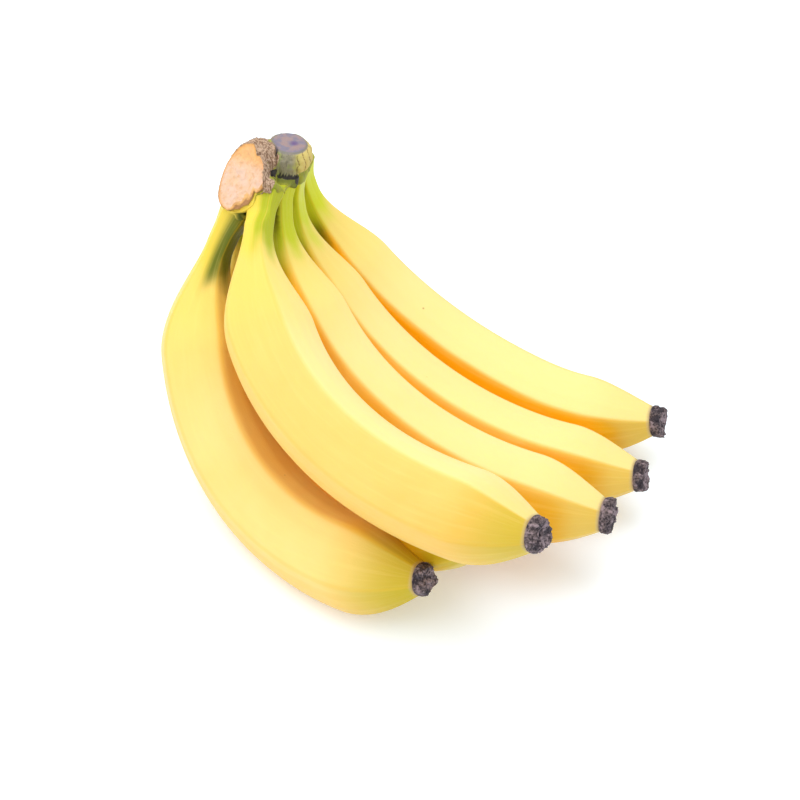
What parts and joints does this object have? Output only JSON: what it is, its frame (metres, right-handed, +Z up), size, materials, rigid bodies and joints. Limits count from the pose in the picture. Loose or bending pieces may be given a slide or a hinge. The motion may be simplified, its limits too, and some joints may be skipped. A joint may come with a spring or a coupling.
{
  "type": "banana bunch",
  "caption": "Bunch of ripe yellow bananas joined at a cut crown, lying on their bellies with green necks and dry black tips",
  "frame": {"origin": "middle of the bunch's footprint, on the surface it lies on", "axes": "+Z up, the fingers' blossom ends towards +X, front of the bunch towards -Y, cut crown at the back left and highest"},
  "size_m": [0.22, 0.2153, 0.1379],
  "materials": {
    "banana_skin": "satin",
    "dried_tip": "rough",
    "cut_crown": "dull"
  },
  "bodies": {
    "root": {"crown": "cut_crown", "banana_1": "banana_skin", "banana_2": "banana_skin", "banana_3": "banana_skin", "banana_4": "banana_skin", "banana_5": "banana_skin", "banana_6": "banana_skin", "blossom_tip_1": "dried_tip", "blossom_tip_2": "dried_tip", "blossom_tip_3": "dried_tip", "blossom_tip_4": "dried_tip", "blossom_tip_5": "dried_tip", "blossom_tip_6": "dried_tip"}
  },
  "joints": []
}
